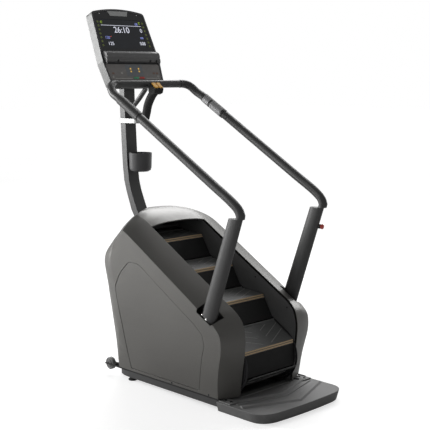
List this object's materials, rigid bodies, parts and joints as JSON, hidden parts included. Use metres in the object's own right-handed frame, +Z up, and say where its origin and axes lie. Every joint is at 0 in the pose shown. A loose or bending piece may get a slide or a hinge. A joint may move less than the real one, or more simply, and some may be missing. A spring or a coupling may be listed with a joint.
{
  "type": "stair climber",
  "caption": "Gym stair climber with a moving flight of steps in a rounded shell, slanted hand rails on posts, and a console on a mast.",
  "frame": {"origin": "on the floor under the middle of the machine's bounding box", "axes": "+X to the user's right, +Y the way the user faces and climbs, +Z up"},
  "size_m": [0.726, 1.6391, 2.2004],
  "materials": {
    "shell_paint": "satin warm grey with a fine metallic sparkle",
    "frame_paint": "satin dark grey powder coat",
    "steel": "bare machined steel",
    "grip_plate": "polished contact plates",
    "dark_plastic": "dark moulded plastic",
    "grey_plastic": "mid grey moulded plastic",
    "silver_plastic": "silver painted plastic",
    "gloss_black": "gloss black",
    "screen": "lit display behind a gloss black pane",
    "tread": "dark grey ribbed plastic with tan nosing strips",
    "rubber": "black rubber",
    "amber": "amber",
    "red": "red",
    "green": "green",
    "cast_iron": "dark cast housing"
  },
  "bodies": {
    "frame": {"side_shell_left": "shell_paint", "side_shell_right": "shell_paint", "service_panel_left": "shell_paint", "service_panel_right": "shell_paint", "front_shroud": "shell_paint", "base_frame": "frame_paint", "mast": "frame_paint", "crossbar": "frame_paint", "grip_arm": "frame_paint", "hand_rail_left": "frame_paint", "hand_rail_right": "frame_paint", "post_left": "frame_paint", "post_right": "frame_paint", "chain_left": "steel", "chain_right": "steel", "pulse_grip_left": "grip_plate", "pulse_grip_right": "grip_plate", "entry_platform": "dark_plastic", "reading_tray": "dark_plastic", "e_stop_base": "dark_plastic", "inner_wall_left": "dark_plastic", "inner_wall_right": "dark_plastic", "keypad_panel": "grey_plastic", "cup_holder": "grey_plastic", "console_housing": "silver_plastic", "grip_bracket": "silver_plastic", "console_fascia": "gloss_black", "screen": "screen", "control_grip": "rubber", "power_inlet": "rubber", "alternator": "cast_iron"},
    "stair_front": {"tread_2": "tread", "riser_2": "dark_plastic", "tread_3": "tread", "riser_3": "dark_plastic"},
    "step_1": {"tread_1": "tread", "riser_1": "dark_plastic"},
    "step_9": {"tread_9": "tread", "riser_9": "dark_plastic"},
    "step_4": {"tread_4": "tread", "riser_4": "dark_plastic"},
    "step_5": {"tread_5": "tread", "riser_5": "dark_plastic"},
    "stair_return": {"tread_6": "tread", "riser_6": "dark_plastic", "tread_7": "tread", "riser_7": "dark_plastic", "tread_8": "tread", "riser_8": "dark_plastic"},
    "lower_shaft_body": {"lower_shaft": "steel"},
    "upper_shaft_body": {"upper_shaft": "steel"},
    "wheel_left": {"transport_wheel_left": "rubber"},
    "wheel_right": {"transport_wheel_right": "rubber"},
    "foot_left": {"levelling_foot_left": "rubber"},
    "foot_right": {"levelling_foot_right": "rubber"},
    "e_stop": {"e_stop_button": "red"},
    "thumb_left": {"thumb_button_left": "amber"},
    "thumb_right": {"thumb_button_right": "amber"},
    "go": {"go_key": "green"},
    "stop": {"stop_key": "red"}
  },
  "joints": [
    {"name": "stair_travel", "type": "slide", "parent": "frame", "child": "stair_front", "axis": [0, -0.866, -0.5], "range_m": [-0.03, 0.022]},
    {"name": "step_1_turn", "type": "hinge", "parent": "stair_front", "child": "step_1", "pos_m": [0, -0.3838, 0.4015], "axis": [1, 0, 0], "range_deg": [-10.46, 7.7]},
    {"name": "step_9_turn", "type": "hinge", "parent": "step_1", "child": "step_9", "pos_m": [0, -0.5459, 0.1538], "axis": [1, 0, 0], "range_deg": [-1.05, 0.8]},
    {"name": "step_4_turn", "type": "hinge", "parent": "stair_front", "child": "step_4", "pos_m": [0, 0.1289, 0.6975], "axis": [1, 0, 0], "range_deg": [-1.74, 1.3]},
    {"name": "step_5_turn", "type": "hinge", "parent": "step_4", "child": "step_5", "pos_m": [0, 0.3886, 0.8394], "axis": [1, 0, 0], "range_deg": [-9.06, 6.67]},
    {"name": "stair_return_travel", "type": "slide", "parent": "frame", "child": "stair_return", "axis": [0, 0.866, 0.5], "range_m": [-0.02831, 0.02089]},
    {"name": "lower_shaft_spin", "type": "hinge", "parent": "frame", "child": "lower_shaft_body", "pos_m": [0, -0.40597, 0.21316], "axis": [1, 0, 0], "range_deg": [-11.51, 8.49]},
    {"name": "upper_shaft_spin", "type": "hinge", "parent": "frame", "child": "upper_shaft_body", "pos_m": [0, 0.42162, 0.69097], "axis": [1, 0, 0], "range_deg": [-11.51, 8.49]},
    {"name": "wheel_left_spin", "type": "hinge", "parent": "frame", "child": "wheel_left", "pos_m": [-0.305, 0.4884, 0.062], "axis": [1, 0, 0], "continuous": true},
    {"name": "foot_left_screw", "type": "slide", "parent": "frame", "child": "foot_left", "axis": [0, 0, -1], "range_m": [0, 0.012]},
    {"name": "wheel_right_spin", "type": "hinge", "parent": "frame", "child": "wheel_right", "pos_m": [0.305, 0.4884, 0.062], "axis": [1, 0, 0], "continuous": true},
    {"name": "foot_right_screw", "type": "slide", "parent": "frame", "child": "foot_right", "axis": [0, 0, -1], "range_m": [0, 0.012]},
    {"name": "e_stop_press", "type": "slide", "parent": "frame", "child": "e_stop", "axis": [0, 1, 0], "range_m": [0, 0.004], "stiffness_N_per_m": 600, "springref_m": -0.002},
    {"name": "thumb_left_press", "type": "slide", "parent": "frame", "child": "thumb_left", "axis": [0, 0.6332, -0.774], "range_m": [0, 0.003], "stiffness_N_per_m": 400, "springref_m": -0.002},
    {"name": "thumb_right_press", "type": "slide", "parent": "frame", "child": "thumb_right", "axis": [0, 0.6332, -0.774], "range_m": [0, 0.003], "stiffness_N_per_m": 400, "springref_m": -0.002},
    {"name": "go_key_press", "type": "slide", "parent": "frame", "child": "go", "axis": [0, 0.9135, -0.4067], "range_m": [0, 0.0012], "stiffness_N_per_m": 500, "springref_m": -0.001},
    {"name": "stop_key_press", "type": "slide", "parent": "frame", "child": "stop", "axis": [0, 0.9135, -0.4067], "range_m": [0, 0.0012], "stiffness_N_per_m": 500, "springref_m": -0.001}
  ],
  "couplings": [
    {"joint": "step_1_turn", "follows": "stair_travel", "rad_per_m": 6.027},
    {"joint": "step_9_turn", "follows": "stair_travel", "rad_per_m": 0.554},
    {"joint": "step_4_turn", "follows": "stair_travel", "rad_per_m": 0.951},
    {"joint": "step_5_turn", "follows": "stair_travel", "rad_per_m": 5.214},
    {"joint": "stair_return_travel", "follows": "stair_travel", "ratio": 0.927},
    {"joint": "lower_shaft_spin", "follows": "stair_travel", "rad_per_m": 6.579},
    {"joint": "upper_shaft_spin", "follows": "stair_travel", "rad_per_m": 6.579}
  ]
}
